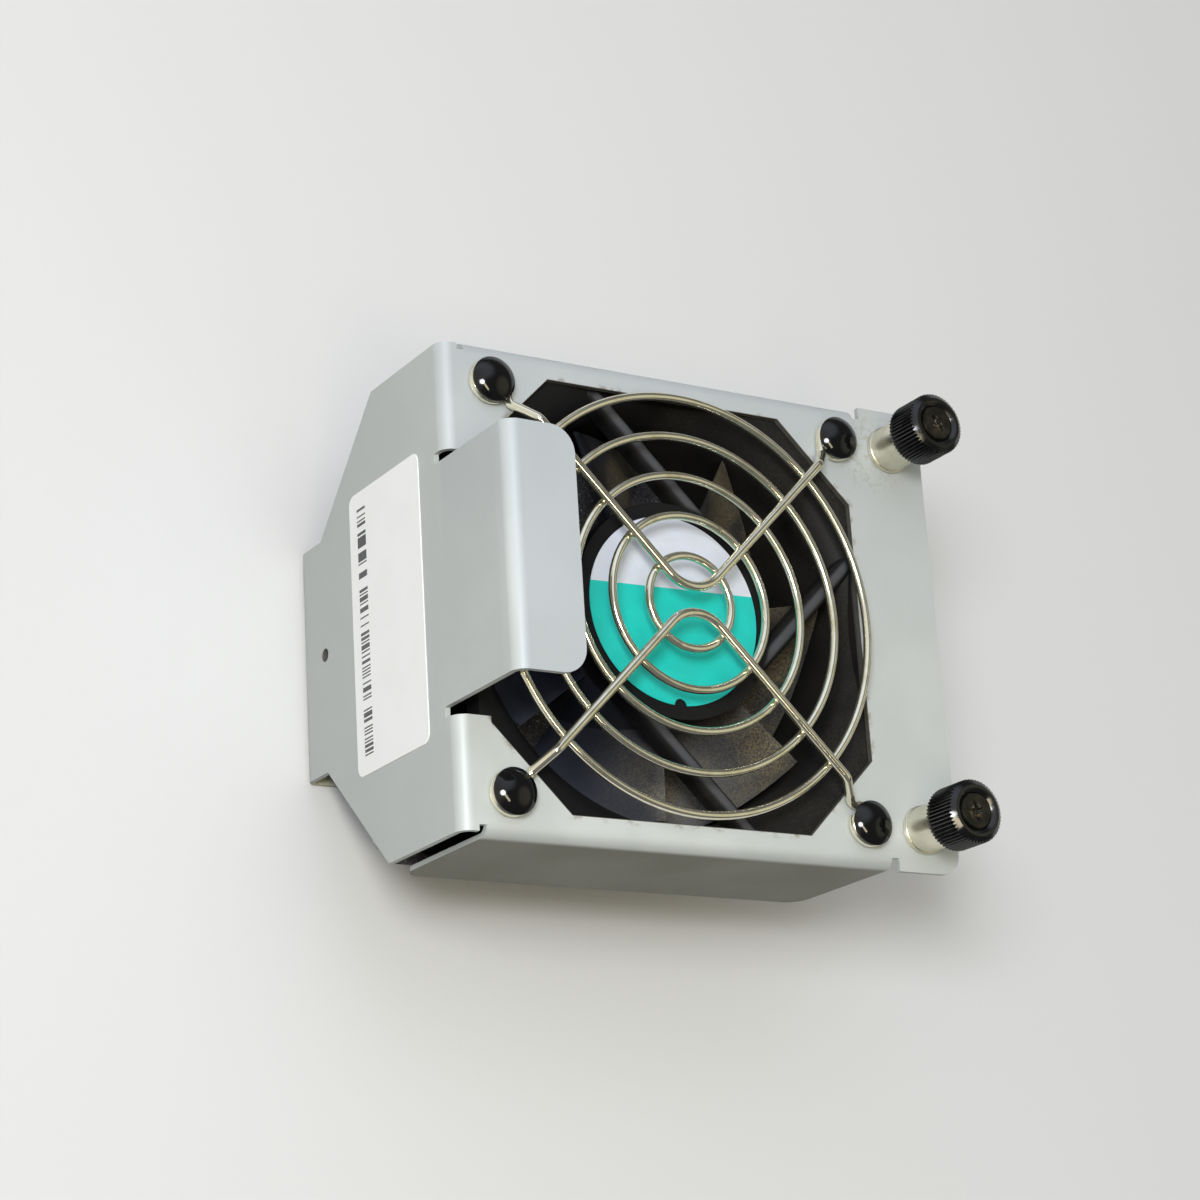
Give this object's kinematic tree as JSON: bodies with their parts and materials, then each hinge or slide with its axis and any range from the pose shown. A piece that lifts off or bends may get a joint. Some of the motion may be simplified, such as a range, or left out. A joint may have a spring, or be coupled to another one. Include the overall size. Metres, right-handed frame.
{
  "type": "fan tray",
  "caption": "Bent sheet-metal fan tray with an axial fan behind a wire guard, a pull tab, a hook lip and captive thumbscrews.",
  "frame": {"origin": "midway between the two thumbscrew axes, on the underside of the face plate's flange, where the tray seats", "axes": "+Z out of the face plate toward the user, -X toward the pull tab, +Y to the left seen from the tab looking toward the thumbscrews"},
  "size_m": [0.1007, 0.0868, 0.0758],
  "materials": {
    "zinc_steel": "zinc-plated sheet, satin",
    "sticker_paper": "white coated paper label",
    "label_film": "printed film, white over teal",
    "fan_plastic": "black glass-filled plastic",
    "rivet_nylon": "glossy black nylon",
    "nickel_wire": "bright nickel-plated wire",
    "nickel_collar": "nickel-plated turned steel",
    "knob_black": "black, knurled grip",
    "screw_steel": "blackened steel",
    "spring_steel": "drawn spring wire",
    "bearing_steel": "ground steel",
    "tube_brass": "turned brass",
    "core_steel": "stamped laminations",
    "coil_wire": "enamelled copper wire",
    "insulator_plastic": "natural nylon",
    "magnet_rubber": "bonded ferrite",
    "board_green": "glass-epoxy board",
    "chip_black": "moulded chip packages"
  },
  "bodies": {
    "tray": {"tray_bracket": "zinc_steel", "wall_sticker": "sticker_paper", "fan_frame": "fan_plastic", "motor_label": "label_film", "bearing_tube": "tube_brass", "bearing_outer_rings": "bearing_steel", "bearing_balls": "bearing_steel", "stator_core": "core_steel", "stator_insulators": "insulator_plastic", "stator_coils": "coil_wire", "drive_board": "board_green", "board_components": "chip_black", "guard_rings": "nickel_wire", "guard_wire_left": "nickel_wire", "guard_wire_right": "nickel_wire", "rivet_sockets": "rivet_nylon", "rivet_pins": "rivet_nylon", "left_collar": "nickel_collar", "right_collar": "nickel_collar"},
    "rotor": {"impeller": "fan_plastic", "rotor_yoke": "core_steel", "rotor_magnet": "magnet_rubber", "rotor_shaft": "bearing_steel", "bearing_inner_rings": "bearing_steel", "shaft_clip": "spring_steel", "preload_spring": "spring_steel"},
    "left_plunger": {"left_spring": "spring_steel"},
    "left_thumbscrew": {"left_screw": "screw_steel", "left_knob": "knob_black"},
    "right_plunger": {"right_spring": "spring_steel"},
    "right_thumbscrew": {"right_screw": "screw_steel", "right_knob": "knob_black"}
  },
  "joints": [
    {"name": "rotor_spin", "type": "hinge", "parent": "tray", "child": "rotor", "pos_m": [-0.0481, 0, -0.012], "axis": [0, 0, 1], "continuous": true},
    {"name": "left_press", "type": "slide", "parent": "tray", "child": "left_plunger", "axis": [0, 0, -1], "range_m": [0, 0.0045], "stiffness_N_per_m": 400, "springref_m": -0.004, "deforming": ["left_spring"]},
    {"name": "left_turn", "type": "hinge", "parent": "left_plunger", "child": "left_thumbscrew", "pos_m": [0, 0.03575, 0.008], "axis": [0, 0, 1], "continuous": true},
    {"name": "right_press", "type": "slide", "parent": "tray", "child": "right_plunger", "axis": [0, 0, -1], "range_m": [0, 0.0045], "stiffness_N_per_m": 400, "springref_m": -0.004, "deforming": ["right_spring"]},
    {"name": "right_turn", "type": "hinge", "parent": "right_plunger", "child": "right_thumbscrew", "pos_m": [0, -0.03575, 0.008], "axis": [0, 0, 1], "continuous": true}
  ]
}
